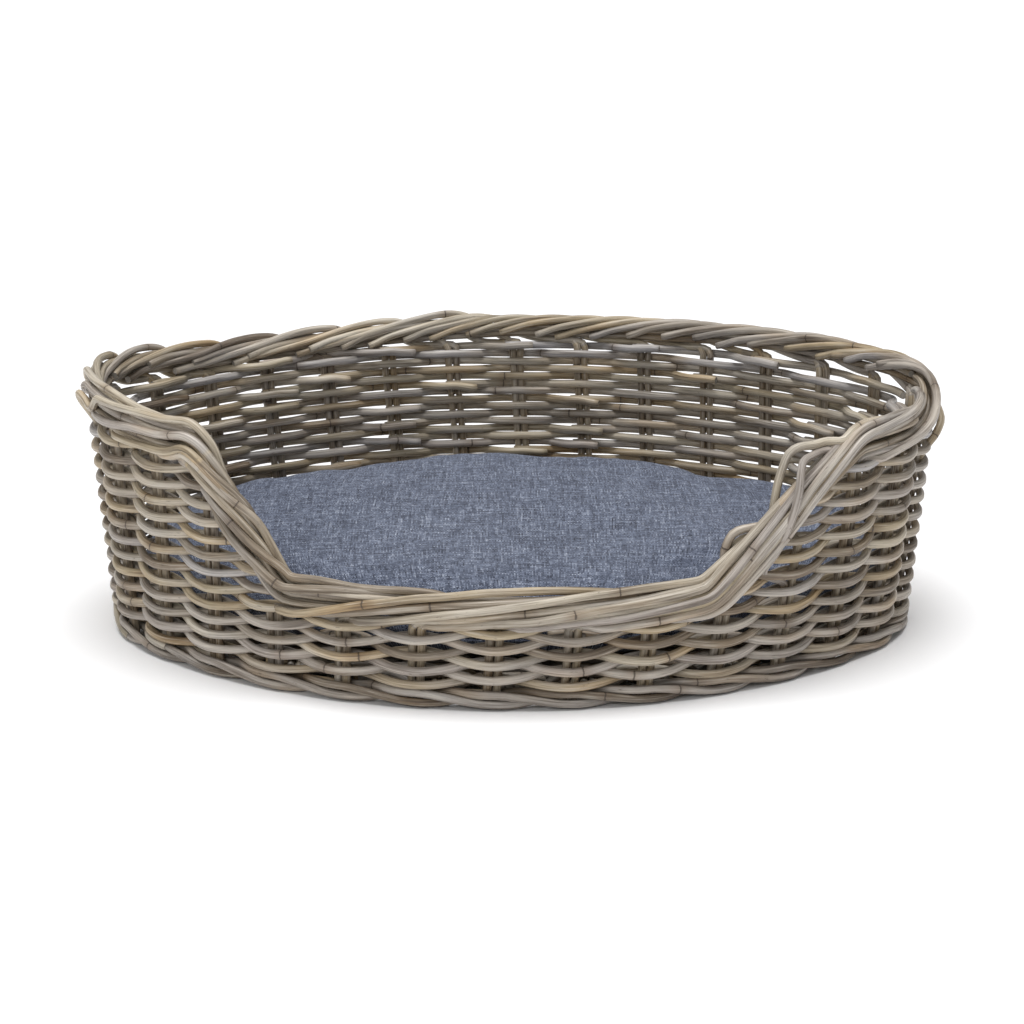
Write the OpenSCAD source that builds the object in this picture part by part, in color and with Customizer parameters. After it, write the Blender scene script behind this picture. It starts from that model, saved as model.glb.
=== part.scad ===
// Wicker pet bed: an oval basket of woven round cane with a lowered front, and a loose zipped cushion.
// Millimetres. +X runs along the length, the lowered front faces -Y, +Z is up.
// The origin is on the ground, at the middle of the outline.

/* [Basket] */
// Length over the border
overall_l = 700; // [500:1:1000]
// Width of the oval over the high border
overall_w = 518; // [380:1:800]
// Radius of the rounded ends, over the border
end_radius = 182; // [120:1:260]
// Height of the high border
rim_h = 204; // [140:1:320]
// Height of the lowered front
entry_h = 96; // [70:1:160]
// Outward slope of the wall, sideways travel for each mm of height
flare = 0.075; // [0:0.005:0.2]

/* [Entrance] */
// Half length of the low stretch of border
entry_half = 153; // [90:1:240]
// Run of the slope on the left, measured along the wall
ramp_in_run = 71; // [40:1:140]
// Run of the slope on the right
ramp_out_run = 138; // [40:1:200]
// Offset of the entrance along the wall from the front middle
entry_shift = -15; // [-60:1:60]

/* [Cane] */
// Diameter of every cane
cane_d = 6.4; // [4:0.1:9]
// Number of pairs of uprights round the wall, an even number
stakes = 30; // [20:2:44]
// Place of the first pair, as a share of the spacing
stake_phase = 0.2; // [0:0.05:1]
// Lean of the uprights along the wall, travel for each mm of height
lean = 0.065; // [0:0.005:0.15]
// Height from one woven row to the next
row_pitch = 6.7; // [5:0.1:9]
// Rows that go all the way round
full_rows = 8; // [4:1:14]
// Rows that stop at the entrance
open_rows = 15; // [6:1:30]
// Bend radius of a weaver where it passes a pair of uprights
bend = 28; // [20:1:36]

/* [Border] */
// Strands twisted into the border
border_strands = 6; // [4:1:6]
// Half thickness of the border's twist, across the wall
twist_w = 7.6; // [5:0.1:10]
// Half height of the border's twist
twist_h = 9.3; // [6:0.1:14]

/* [Cushion] */
// Gap between the cushion and the inside of the wall
cushion_gap = 9; // [6:0.5:20]
// Height of the cushion's crown above the ground
cushion_top = 94; // [60:1:120]
// Height of the seam above the ground
seam_z = 46; // [36:1:70]
// Thickness of the cover
cloth_t = 1; // [0.6:0.1:2]
// Half angle of the zip on its arc
zip_half = 17; // [8:0.5:24]

/* [Hidden] */
$fn = 48;

cane_r = cane_d / 2;
clear = 0.3;
// a woven row is one mass of cane, so its links are pressed a little thinner than its bends
link_d = cane_d - 0.3;
link_in = 1.5;

// distance from the uprights' line to the middle of a cane passing them
pass = 2 * cane_r + 0.8;
// canes of a pair stand this far either side of the pair's middle
pair_half = cane_r + 0.15;

// the border's middle line lies this far outside the uprights' line
border_out = 3.5;
border_z = rim_h - twist_h - cane_r - 0.2;
border_low_z = entry_h - twist_h - cane_r - 0.2;
border_reach = flare * border_z + border_out + twist_w + cane_r;

// oval through the uprights at ground level: four arcs that meet smoothly
oval_a = overall_l / 2 - border_reach;
oval_b = overall_w / 2 - border_reach;
end_r = end_radius - border_reach;
end_x = oval_a - end_r;
side_c = (pow(end_x, 2) - pow(oval_b - end_r, 2)) / (2 * (oval_b - end_r));
side_r = oval_b + side_c;
end_t = atan2(side_c, end_x);
end_len = 2 * end_r * end_t * PI / 180;
side_len = 2 * side_r * (90 - end_t) * PI / 180;
perim = 2 * (end_len + side_len);
spacing = perim / stakes;
// the low front leans out less than the back, so the oval is moved to keep the outline centred
mid_y = -flare * (border_z - border_low_z) / 2;

function wrap(s) = s - perim * floor(s / perim);
function arc_no(u) = u < end_len ? 0 : u < end_len + side_len ? 1 : u < 2 * end_len + side_len ? 2 : 3;
function arc_at(s) = arc_no(wrap(s + end_len / 2));
function arc_centre(k) = [[end_x, mid_y], [0, mid_y - side_c], [-end_x, mid_y], [0, mid_y + side_c]][k];
function arc_radius(k) = k % 2 == 0 ? end_r : side_r;
function arc_start(k) = [0, end_len, end_len + side_len, 2 * end_len + side_len][k];
function arc_angle(k) = [-end_t, end_t, 180 - end_t, 180 + end_t][k];
function facing(s) = let(k = arc_at(s), u = wrap(s + end_len / 2) - arc_start(k))
  arc_angle(k) + u / arc_radius(k) * 180 / PI;
function dir(a) = [cos(a), sin(a)];
// point at distance s along the uprights' oval, moved outwards by off
function at(s, off) = let(k = arc_at(s)) arc_centre(k) + (arc_radius(k) + off) * dir(facing(s));
function at3(s, off, z) = let(p = at(s, off)) [p[0], p[1], z];

// half width of the oval moved outwards by off, at a given x, and half length at a given y
function half_w(x, off) = abs(x) > end_x + (end_r + off) * cos(end_t)
  ? sqrt(max(0, pow(end_r + off, 2) - pow(abs(x) - end_x, 2)))
  : sqrt(pow(side_r + off, 2) - pow(x, 2)) - side_c;
function half_l(y, off) = abs(y) < (end_r + off) * sin(end_t)
  ? end_x + sqrt(pow(end_r + off, 2) - pow(y, 2))
  : sqrt(max(0, pow(side_r + off, 2) - pow(abs(y) + side_c, 2)));

// entrance, as distances along the oval
front_s = perim * 3 / 4;
entry_s = front_s + entry_shift;
ramp_in_a = entry_s - entry_half - ramp_in_run;
ramp_in_b = entry_s - entry_half;
ramp_out_a = entry_s + entry_half;
ramp_out_b = entry_s + entry_half + ramp_out_run;
ramp_rise = border_z - border_low_z;
// the eased border sags up to this far below the sharp upper corners of its slopes
corner_sag = 3.5;
// room that the border takes beside a row, along a slope with a given run
function ramp_along(run) = let(m = run / ramp_rise)
  (twist_h + cane_r) * sqrt(1 + pow(m, 2)) + cane_r * m + corner_sag;
// room that it takes above a pair of uprights on that slope
function ramp_up(run) = let(m = ramp_rise / run)
  (twist_h + cane_r) * sqrt(1 + pow(m, 2)) + (pair_half + cane_r) * m + corner_sag;

function stake_s(i, z) = (i + stake_phase) * spacing + lean * z;
// height of the border's middle line over a place on the wall
function border_height(s) =
  s < ramp_in_a || s > ramp_out_b ? border_z :
  s < ramp_in_b ? border_z - (s - ramp_in_a) * ramp_rise / ramp_in_run :
  s > ramp_out_a ? border_low_z + (s - ramp_out_a) * ramp_rise / ramp_out_run :
  border_low_z;
corner_room = 14;
function on_ramp(s) =
  (s > ramp_in_a - corner_room && s < ramp_in_b) || (s > ramp_out_a && s < ramp_out_b + corner_room);
function stake_top(i) = let(s = stake_s(i, border_low_z), b = border_height(s))
  on_ramp(s) ? b - ramp_up(s < entry_s ? ramp_in_run : ramp_out_run) : b - twist_h - cane_r - 1;

/* ---- canes ---- */

// straight cane from p to n
module rod(p, n, d) {
  v = n - p;
  translate(p)
    rotate([0, acos(v[2] / norm(v)), atan2(v[1], v[0])])
      cylinder(h = norm(v), d = d);
}

// a six-sided ring is this much wider, so that it holds as much as a round cane
hex_size = 1.04;
function unit(v) = v / norm(v);
// vertices of a six-sided ring round point p, for a cane running along t
function ring(p, t, r) = let(w = unit(cross(t, [0, 0, 1])), u = cross(w, t))
  [for (k = [0:5]) p + r * (cos(60 * k) * w + sin(60 * k) * u)];
// closed loop of cane through pts
module cane_loop(pts, r) {
  n = len(pts);
  verts = [for (i = [0:n - 1]) each ring(pts[i], unit(pts[(i + 1) % n] - pts[(i + n - 1) % n]), r * hex_size)];
  faces = [
    for (i = [0:n - 1], k = [0:5])
      let(a = i * 6 + k, b = i * 6 + (k + 1) % 6, c = ((i + 1) % n) * 6 + k, d = c - k + (k + 1) % 6)
        each [[a, c, b], [b, c, d]]
  ];
  polyhedron(points = verts, faces = faces, convexity = 10);
}

/* ---- base ---- */

hoop_d = 9;
hoop_off = -14;
stick_z = hoop_d + clear + cane_r;
stick_gap = 56;
stick_pairs = 5;
floor_z = stick_z + 2 * cane_r + 0.2;
floor_low_z = stick_z - 2 * cane_r - 0.2;
floor_top = floor_z + cane_r;

// rod of the hoop with a flat worn on its underside
module hoop_section(d) {
  intersection() {
    translate([0, hoop_d / 2])
      circle(d = d);
    translate([-hoop_d, 0.6])
      square([2 * hoop_d, hoop_d]);
  }
}

module hoop_arc(k, d, extra) {
  span = (k % 2 == 0 ? 2 * end_t : 180 - 2 * end_t) + 2 * extra;
  c = arc_centre(k);
  translate([c[0], c[1], -0.6])
    rotate([0, 0, arc_angle(k) - extra])
      rotate_extrude(angle = span)
        translate([arc_radius(k) + hoop_off, 0])
          hoop_section(d);
}

module base_hoop() {
  color("#8a7a66") {
    hoop_arc(1, hoop_d, 0);
    hoop_arc(3, hoop_d, 0);
    hoop_arc(0, hoop_d - 0.3, 0.6);
    hoop_arc(2, hoop_d - 0.3, 0.6);
  }
}

module base_sticks() {
  color("#8f806c")
    for (k = [-stick_pairs:stick_pairs], h = [-1, 1]) {
      x = k * stick_gap + h * pair_half;
      w = half_w(x, hoop_off + 1);
      rod([x, mid_y - w, stick_z], [x, mid_y + w, stick_z], cane_d);
    }
}

// every second lengthwise cane of the floor, over or under the sticks
module floor_layer(first, z, off) {
  count = floor((oval_b + off - cane_r) / row_pitch);
  for (j = [-count:count])
    if (abs(j) % 2 == first) {
      y = j * row_pitch;
      l = half_l(abs(y) + cane_r, off);
      rod([-l, mid_y + y, z], [l, mid_y + y, z], cane_d);
    }
}

module base_canes_upper() {
  color("#9a8b76") floor_layer(0, floor_z, -12);
}

module base_canes_lower() {
  color("#93846f") floor_layer(1, floor_low_z, hoop_off - hoop_d / 2 - 1);
}

/* ---- foot wale: three strands, each in front of two pairs and behind the third ---- */

wale_h = 4.2;
wale_z = 1 + wale_h + cane_r * hex_size;
wale_steps = [0.13, 0.36, 0.64, 0.87];

// places over one gap for the three passes: coming out, lying in front, going in
function wale_side(m, t) = m == 0 ? [-1, -0.5, 0.5, 1][t] : m == 1 ? 1 : [1, 0.5, -0.5, -1][t];
function wale_lift(m, t) = m == 0 ? [0.35, 0.9, 1, 1][t] : m == 1 ? [0.85, 0.35, -0.35, -0.85][t]
  : [-1, -1, -0.9, -0.35][t];

module foot_wale(k) {
  pts = [
    for (i = [0:stakes - 1], t = [0:3])
      let(m = (i + k) % 3, z = wale_z + wale_h * wale_lift(m, t))
        at3(stake_s(i, wale_z) + wale_steps[t] * spacing, flare * wale_z + pass * wale_side(m, t), z)
  ];
  color("#8c7d69") cane_loop(pts, cane_r);
}

module foot_wale_1() { foot_wale(0); }
module foot_wale_2() { foot_wale(1); }
module foot_wale_3() { foot_wale(2); }

/* ---- uprights ---- */

module stake_pair(i) {
  z0 = 2;
  z1 = stake_top(i);
  for (h = [-1, 1])
    rod(
      at3(stake_s(i, z0) + h * pair_half, flare * z0, z0),
      at3(stake_s(i, z1) + h * pair_half, flare * z1, z1),
      cane_d
    );
}

function is_tall(i) = stake_top(i) > border_z - 50;
function is_front(i) = stake_top(i) < border_low_z;

module stakes_tall() {
  color("#7d6f5d")
    for (i = [0:stakes - 1])
      if (is_tall(i)) stake_pair(i);
}

module stakes_ramp() {
  color("#7d6f5d")
    for (i = [0:stakes - 1])
      if (!is_tall(i) && !is_front(i)) stake_pair(i);
}

module stakes_front() {
  color("#7d6f5d")
    for (i = [0:stakes - 1])
      if (is_front(i)) stake_pair(i);
}

/* ---- woven rows ---- */

first_row_z = wale_z + wale_h + 2 * cane_r + 0.7;
function row_z(r) = first_row_z + (r - 1) * row_pitch;
// 1 where row r passes outside pair i, -1 where it passes inside
function side(i, r) = (i + r) % 2 == 0 ? 1 : -1;
function bend_centre(i, r) = at(stake_s(i, row_z(r)), flare * row_z(r) + side(i, r) * (pass - bend));
function heading(p, n) = atan2(n[1] - p[1], n[0] - p[0]);
function turn(p, n) = asin(2 * bend / norm(n - p));
function norm180(a) = a - 360 * floor((a + 180) / 360);
function leaving(i, r) = let(p = bend_centre(i, r), n = bend_centre(i + 1, r))
  heading(p, n) + side(i, r) * turn(p, n);
function leave_point(i, r) = bend_centre(i, r) + bend * dir(leaving(i, r) - side(i, r) * 90);
function arrive_point(i, r) = bend_centre(i + 1, r) + bend * dir(leaving(i, r) + side(i, r) * 90);

module row_bend(i, r) {
  p = bend_centre(i, r);
  t_in = leaving(i - 1, r);
  t_out = leaving(i, r);
  translate([p[0], p[1], row_z(r)])
    rotate([0, 0, (side(i, r) > 0 ? t_in : t_out) - side(i, r) * 90])
      rotate_extrude(angle = norm180((t_out - t_in) * side(i, r)))
        translate([bend, 0])
          circle(d = cane_d);
}

// link from pair i to the next, from share f0 to share f1 of its length
module row_link(i, r, f0, f1) {
  a = leave_point(i, r);
  b = arrive_point(i, r);
  u = dir(leaving(i, r));
  p = a + f0 * (b - a) - (f0 == 0 ? link_in : 0) * u;
  n = a + f1 * (b - a) + (f1 == 1 ? link_in : 0) * u;
  translate([p[0], p[1], row_z(r)])
    rotate([0, 90, leaving(i, r)])
      cylinder(h = norm(n - p), d = link_d);
}

module full_row(r) {
  for (i = [stakes:2 * stakes - 1]) {
    row_bend(i, r);
    row_link(i, r, 0, 1);
  }
}

// distance from the corner of the low stretch to the end of a row, on a slope with a given run
function row_back(r, run) = (row_z(r) - border_low_z) * run / ramp_rise + ramp_along(run);
// places where an open row starts and ends, going round the back
function row_start(r) = ramp_out_a + row_back(r, ramp_out_run);
function row_end(r) = ramp_in_b + perim - row_back(r, ramp_in_run);
function row_first(r) = ceil((row_start(r) + 6 - lean * row_z(r)) / spacing - stake_phase);
function row_last(r) = floor((row_end(r) - 6 - lean * row_z(r)) / spacing - stake_phase);
function share(s, i, r) = max(0, min(0.97, ((s - stake_s(i, row_z(r))) / spacing - 0.12) / 0.76));

module open_row(r) {
  i0 = row_first(r);
  i1 = row_last(r);
  f0 = share(row_start(r), i0 - 1, r);
  f1 = share(row_end(r), i1, r);
  for (i = [i0:i1]) row_bend(i, r);
  for (i = [i0:i1 - 1]) row_link(i, r, 0, 1);
  row_link(i0 - 1, r, max(0.03, f0), 1);
  if (f1 > 0.05) row_link(i1, r, 0, f1);
}

module weave_row(r) {
  color(r % 2 == 0 ? "#a39581" : "#948672")
    if (r <= full_rows) full_row(r);
    else open_row(r);
}

module weave_row_01() { weave_row(1); }
module weave_row_02() { weave_row(2); }
module weave_row_03() { weave_row(3); }
module weave_row_04() { weave_row(4); }
module weave_row_05() { weave_row(5); }
module weave_row_06() { weave_row(6); }
module weave_row_07() { weave_row(7); }
module weave_row_08() { weave_row(8); }
module weave_row_09() { weave_row(9); }
module weave_row_10() { weave_row(10); }
module weave_row_11() { weave_row(11); }
module weave_row_12() { weave_row(12); }
module weave_row_13() { weave_row(13); }
module weave_row_14() { weave_row(14); }
module weave_row_15() { weave_row(15); }
module weave_row_16() { weave_row(16); }
module weave_row_17() { weave_row(17); }
module weave_row_18() { weave_row(18); }
module weave_row_19() { weave_row(19); }
module weave_row_20() { weave_row(20); }
module weave_row_21() { weave_row(21); }
module weave_row_22() { weave_row(22); }
module weave_row_23() { weave_row(23); }

/* ---- border: strands twisted round one line that follows the rim and dips at the entrance ---- */

rim_len = perim - 2 * entry_half - ramp_in_run - ramp_out_run;
rim_steps = 96;
ramp_in_steps = 10;
low_steps = 22;
ramp_out_steps = 14;
border_s = concat(
  [for (k = [0:rim_steps - 1]) ramp_out_b + k * rim_len / rim_steps],
  [for (k = [0:ramp_in_steps - 1]) ramp_in_a + perim + k * ramp_in_run / ramp_in_steps],
  [for (k = [0:low_steps - 1]) ramp_in_b + perim + k * 2 * entry_half / low_steps],
  [for (k = [0:ramp_out_steps - 1]) ramp_out_a + perim + k * ramp_out_run / ramp_out_steps]
);
border_n = len(border_s);
border_turns = 10;
function border_mid(k) = let(s = wrap(border_s[(k + border_n) % border_n]), z = border_height(s))
  at3(s, flare * z + border_out, z);
// middle line eased at its corners
function border_eased(k) = (border_mid(k - 1) + 2 * border_mid(k) + border_mid(k + 1)) / 4;

module border_strand(j) {
  pts = [
    for (k = [0:border_n - 1])
      let(
        p = border_eased(k),
        t = unit(border_eased(k + 1) - border_eased(k - 1)),
        w = unit(cross(t, [0, 0, 1])),
        u = cross(w, t),
        a = 360 * (border_turns * k / border_n + j / border_strands)
      )
        p + twist_w * cos(a) * w + twist_h * sin(a) * u
  ];
  color(j % 2 == 0 ? "#a89a86" : "#988a76") cane_loop(pts, cane_r);
}

module border_strand_1() { border_strand(0); }
module border_strand_2() { border_strand(1); }
module border_strand_3() { border_strand(2); }
module border_strand_4() { border_strand(3); }
module border_strand_5() { border_strand(4); }
module border_strand_6() { border_strand(5); }

/* ---- cushion ---- */

cushion_off = flare * seam_z - pass - cane_r - cushion_gap;
cushion_up = cushion_top - seam_z;
cushion_down = seam_z - floor_top - clear;
pad_points = 60;
top_k = [1, 0.985, 0.95, 0.88, 0.74, 0.5, 0.25];
low_k = [1, 0.985, 0.95, 0.88, 0.7, 0.4];

function pad_edge(k, off) = [for (i = [0:pad_points - 1])
  let(p = at(i * perim / pad_points, cushion_off + off)) [k * p[0], mid_y + k * (p[1] - mid_y)]];
function top_z(k) = cushion_up * (0.72 * pow(1 - pow(k, 8), 0.5) + 0.28 * (1 - pow(k, 2)));
function low_z(k) = -cushion_down * pow(1 - pow(k, 6), 0.5);

// one face of the pad: rings of points from the seam to the middle, then the middle point
function pad_face(ks, heights, z0, off, z_mid) = concat(
  [for (j = [0:len(ks) - 1]) each [for (p = pad_edge(ks[j], off)) [p[0], p[1], z0 + heights[j]]]],
  [[0, mid_y, z_mid]]
);
// triangles of such a face, starting at point number b
function pad_tris(rings, b, flip) = let(n = pad_points) concat(
  [for (j = [0:rings - 2], i = [0:n - 1])
    let(p = b + j * n + i, q = b + j * n + (i + 1) % n, r = p + n, s = q + n)
      each flip ? [[p, q, r], [q, s, r]] : [[p, r, q], [q, r, s]]],
  [for (i = [0:n - 1])
    let(p = b + (rings - 1) * n + i, q = b + (rings - 1) * n + (i + 1) % n, m = b + rings * n)
      flip ? [p, q, m] : [p, m, q]]
);
// triangles joining two rings that start at points b and c
function pad_join(b, c, flip) = [for (i = [0:pad_points - 1])
  let(p = b + i, q = b + (i + 1) % pad_points, r = c + i, s = c + (i + 1) % pad_points)
    each flip ? [[p, r, q], [q, r, s]] : [[p, q, r], [q, s, r]]];

// cover of one face, from the seam to the middle; sgn is 1 for the top and -1 for the underside
module cover(ks, hs, mid, sgn) {
  z0 = seam_z + sgn * 0.2;
  outer = pad_face(ks, hs, z0, 0, z0 + mid);
  inner = pad_face(ks, [for (h = hs) h * (1 - cloth_t / abs(mid))], z0, -cloth_t, z0 + mid - sgn * cloth_t);
  b = len(outer);
  polyhedron(
    points = concat(outer, inner),
    faces = concat(
      pad_tris(len(ks), 0, sgn < 0),
      pad_tris(len(ks), b, sgn > 0),
      pad_join(0, b, sgn < 0)
    ),
    convexity = 6
  );
}

module cushion_cover_top() {
  color("#6f7a8c") cover(top_k, [for (k = top_k) top_z(k)], cushion_up, 1);
}

module cushion_cover_bottom() {
  color("#687385") cover(low_k, [for (k = low_k) low_z(k)], -cushion_down, -1);
}

module cushion_filling() {
  inset = cloth_t + 0.5;
  up = (cushion_up - inset) / cushion_up;
  down = (cushion_down - inset) / cushion_down;
  top = pad_face(top_k, [for (k = top_k) top_z(k) * up + 0.1], seam_z, -inset, seam_z + cushion_up - inset);
  low = pad_face(low_k, [for (k = low_k) low_z(k) * down - 0.1], seam_z, -inset, seam_z - cushion_down + inset);
  b = len(top);
  color("#e6e6e2")
    polyhedron(
      points = concat(top, low),
      faces = concat(pad_tris(len(top_k), 0, false), pad_tris(len(low_k), b, true), pad_join(0, b, false)),
      convexity = 4
    );
}

/* ---- zip along the back of the seam ---- */

zip_r = side_r + cushion_off;
tape_h = 12;
tape_t = 0.8;
coil_d = 2;
coil_r = zip_r + 0.5 + tape_t + 0.3 + coil_d / 2;
slider_span = 1.4;
slider_h = 7;
slider_in = zip_r + 0.5 + tape_t + 0.3;
slider_out = coil_r + coil_d / 2 + 1.1;
slider_rest = 90 + zip_half - 2;
pull_t = 1.2;
pull_w = 5;
pull_l = 16;
pull_x = slider_out + 0.5 + pull_t / 2;
pin_d = 1.4;

module zip_arc(span, start) {
  translate([0, mid_y - side_c, seam_z])
    rotate([0, 0, start])
      rotate_extrude(angle = span)
        children();
}

module zip_tape() {
  color("#4d5563")
    zip_arc(2 * zip_half, 90 - zip_half)
      translate([zip_r + 0.5, -tape_h / 2])
        square([tape_t, tape_h]);
}

module zip_coil() {
  color("#3f4652")
    zip_arc(2 * zip_half - 1, 90 - zip_half + 0.5)
      translate([coil_r, 0])
        circle(d = coil_d);
}

module zip_slider() {
  color("#9a9da3") {
    zip_arc(slider_span, slider_rest - slider_span / 2)
      difference() {
        translate([slider_in, -slider_h / 2])
          square([slider_out - slider_in, slider_h]);
        translate([coil_r, 0])
          circle(d = coil_d + 0.8);
      }
    // lugs that hold the pull's pin
    translate([0, mid_y - side_c, seam_z])
      rotate([0, 0, slider_rest])
        for (h = [-1, 1])
          translate([slider_out - 0.3, h * (pull_w / 2 + 0.9) - 0.6, 0.4])
            cube([pull_x + 1 - slider_out + 0.3, 1.2, 2.6]);
  }
}

module zip_pull() {
  color("#9a9da3")
    translate([0, mid_y - side_c, seam_z])
      rotate([0, 0, slider_rest])
        difference() {
          union() {
            translate([pull_x - pull_t / 2, -pull_w / 2, 1.7 - pull_l])
              cube([pull_t, pull_w, pull_l]);
            translate([pull_x, -pull_w / 2, 1.7])
              rotate([-90, 0, 0])
                cylinder(h = pull_w, d = pin_d);
          }
          translate([pull_x - pull_t, 0, 5.5 - pull_l])
            rotate([0, 90, 0])
              cylinder(h = 2 * pull_t, d = 2.4);
        }
}

base_hoop();
base_sticks();
base_canes_upper();
base_canes_lower();
foot_wale_1();
foot_wale_2();
foot_wale_3();
stakes_tall();
stakes_ramp();
stakes_front();
weave_row_01();
weave_row_02();
weave_row_03();
weave_row_04();
weave_row_05();
weave_row_06();
weave_row_07();
weave_row_08();
weave_row_09();
weave_row_10();
weave_row_11();
weave_row_12();
weave_row_13();
weave_row_14();
weave_row_15();
weave_row_16();
weave_row_17();
weave_row_18();
weave_row_19();
weave_row_20();
weave_row_21();
weave_row_22();
weave_row_23();
border_strand_1();
border_strand_2();
border_strand_3();
border_strand_4();
border_strand_5();
border_strand_6();
cushion_cover_top();
cushion_cover_bottom();
cushion_filling();
zip_tape();
zip_coil();
zip_slider();
zip_pull();
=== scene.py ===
"""A wicker pet bed: woven round cane, a twisted border with a lowered front, and a padded cushion."""

import bpy
import numpy as np
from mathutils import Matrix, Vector


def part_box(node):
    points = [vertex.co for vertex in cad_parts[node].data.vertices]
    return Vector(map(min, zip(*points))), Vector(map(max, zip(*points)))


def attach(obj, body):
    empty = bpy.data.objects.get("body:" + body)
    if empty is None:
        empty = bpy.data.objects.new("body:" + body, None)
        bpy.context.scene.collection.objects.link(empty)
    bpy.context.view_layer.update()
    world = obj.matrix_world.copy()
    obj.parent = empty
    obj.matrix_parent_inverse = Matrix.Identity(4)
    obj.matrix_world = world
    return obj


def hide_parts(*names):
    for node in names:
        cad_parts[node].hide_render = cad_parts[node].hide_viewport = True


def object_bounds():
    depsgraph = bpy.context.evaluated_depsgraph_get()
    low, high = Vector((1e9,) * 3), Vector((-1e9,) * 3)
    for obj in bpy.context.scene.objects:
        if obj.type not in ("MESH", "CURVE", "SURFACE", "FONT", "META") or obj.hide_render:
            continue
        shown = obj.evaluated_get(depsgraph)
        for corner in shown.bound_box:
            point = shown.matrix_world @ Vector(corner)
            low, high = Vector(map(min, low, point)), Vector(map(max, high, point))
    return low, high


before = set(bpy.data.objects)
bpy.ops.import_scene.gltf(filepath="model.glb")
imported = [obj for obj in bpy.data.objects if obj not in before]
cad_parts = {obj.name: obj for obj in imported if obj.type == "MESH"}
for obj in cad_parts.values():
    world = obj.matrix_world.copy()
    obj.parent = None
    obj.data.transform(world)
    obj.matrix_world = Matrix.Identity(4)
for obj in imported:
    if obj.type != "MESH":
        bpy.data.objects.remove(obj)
CAD_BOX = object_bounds()
MM = 0.001
TAU = 2 * np.pi

# ---- sizes shared with the CAD frame

CANE_R = 3.2 * MM
STAKES = 30
STAKE_PHASE = 0.2
LEAN = 0.065
FLARE = 0.075
PASS = 7.2 * MM
PAIR_HALF = 3.35 * MM
HOOP_OFF = -14 * MM
HOOP_R = 4.5 * MM
END_RADIUS = 153.35 * MM
BORDER_OUT = 3.5 * MM
# distances between the growth rings of a cane, and between the rings of points of its mesh
RING_GAP = 240 * MM
CANE_STEP = 4.6 * MM
FULL_ROWS = 8
ROWS = 23

hoop_low, hoop_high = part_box("base_hoop")
MID_Y = (hoop_low.y + hoop_high.y) / 2
OVAL_A = (hoop_high.x - hoop_low.x) / 2 - HOOP_R - HOOP_OFF + 0.15 * MM
OVAL_B = (hoop_high.y - hoop_low.y) / 2 - HOOP_R - HOOP_OFF


def middle_z(node):
    low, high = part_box(node)
    return (low.z + high.z) / 2


FIRST_ROW_Z = middle_z("weave_row_01")
ROW_PITCH = (middle_z(f"weave_row_{ROWS:02d}") - FIRST_ROW_Z) / (ROWS - 1)
BORDER_TOP = CAD_BOX[1].z
STICK_Z = middle_z("base_sticks")
STICK_GAP = 56 * MM
STICK_PAIRS = 5


class Oval:
    """Four arcs that meet smoothly, measured by distance from the +X end, anticlockwise from above."""

    def __init__(self, a, b, end_radius, mid_y):
        self.end_x = a - end_radius
        self.side_c = (self.end_x**2 - (b - end_radius) ** 2) / (2 * (b - end_radius))
        self.radii = np.array([end_radius, b + self.side_c] * 2)
        self.turn = np.arctan2(self.side_c, self.end_x)
        half = np.array([self.turn, np.pi / 2 - self.turn] * 2)
        self.lengths = 2 * half * self.radii
        self.starts = np.concatenate([[0], np.cumsum(self.lengths)[:-1]])
        self.angles = np.array([-self.turn, self.turn, np.pi - self.turn, np.pi + self.turn])
        self.centres = np.array(
            [[self.end_x, mid_y], [0, mid_y - self.side_c], [-self.end_x, mid_y], [0, mid_y + self.side_c]]
        )
        self.perimeter = self.lengths.sum()

    def place(self, s, off, z):
        """Points at distances s, moved outwards by off and up by z, and their outward directions."""
        s, off, z = np.broadcast_arrays(np.asarray(s, float), off, z)
        u = (s + self.lengths[0] / 2) % self.perimeter
        k = np.searchsorted(self.starts, u, side="right") - 1
        angle = self.angles[k] + (u - self.starts[k]) / self.radii[k]
        out = np.stack([np.cos(angle), np.sin(angle), np.zeros_like(angle)], -1)
        flat = self.centres[k] + (self.radii[k] + off)[..., None] * out[..., :2]
        return np.concatenate([flat, z[..., None]], -1), out

    def half_length(self, y, off):
        """Half length of the oval moved outwards by off, at the distance y from its long axis."""
        y = abs(y)
        if y < (self.radii[0] + off) * np.sin(self.turn):
            return self.end_x + np.sqrt((self.radii[0] + off) ** 2 - y**2)
        return np.sqrt(max(0.0, (self.radii[1] + off) ** 2 - (y + self.side_c) ** 2))

    def half_width(self, x, off):
        """Half width of the oval moved outwards by off, at the distance x from its short axis."""
        x = abs(x)
        if x > self.end_x + (self.radii[0] + off) * np.cos(self.turn):
            return np.sqrt(max(0.0, (self.radii[0] + off) ** 2 - (x - self.end_x) ** 2))
        return np.sqrt((self.radii[1] + off) ** 2 - x**2) - self.side_c


oval = Oval(OVAL_A, OVAL_B, END_RADIUS, MID_Y)
SPACING = oval.perimeter / STAKES
FRONT_S = oval.perimeter * 0.75
ENTRY_S = FRONT_S - 15 * MM
# distances along the wall from the middle of the entrance to each slope's foot, and the slopes' lengths
LEFT_FOOT, LEFT_RUN = 163 * MM, 67 * MM
RIGHT_FOOT, RIGHT_RUN = 160 * MM, 131 * MM
BORDER_Z = BORDER_TOP - 12.7 * MM
BORDER_LOW_Z = 80 * MM
# the finished rim isn't level: places along the wall and its lift there, in millimetres
RIM_WAVE = (
    (0, 3), (150, 4.5), (300, 3), (440, 1.5), (540, -2), (620, -6), (720, -5), (790, 3), (860, 8),
    (900, 8), (950, 2), (1020, -3.5), (1080, -3.5), (1520, -3), (1580, -9), (1640, -9), (1690, -4),
)


def stake_s(i, z):
    return (i + STAKE_PHASE) * SPACING + LEAN * z


def smooth(x):
    x = np.clip(x, 0, 1)
    return x * x * (3 - 2 * x)


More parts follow.
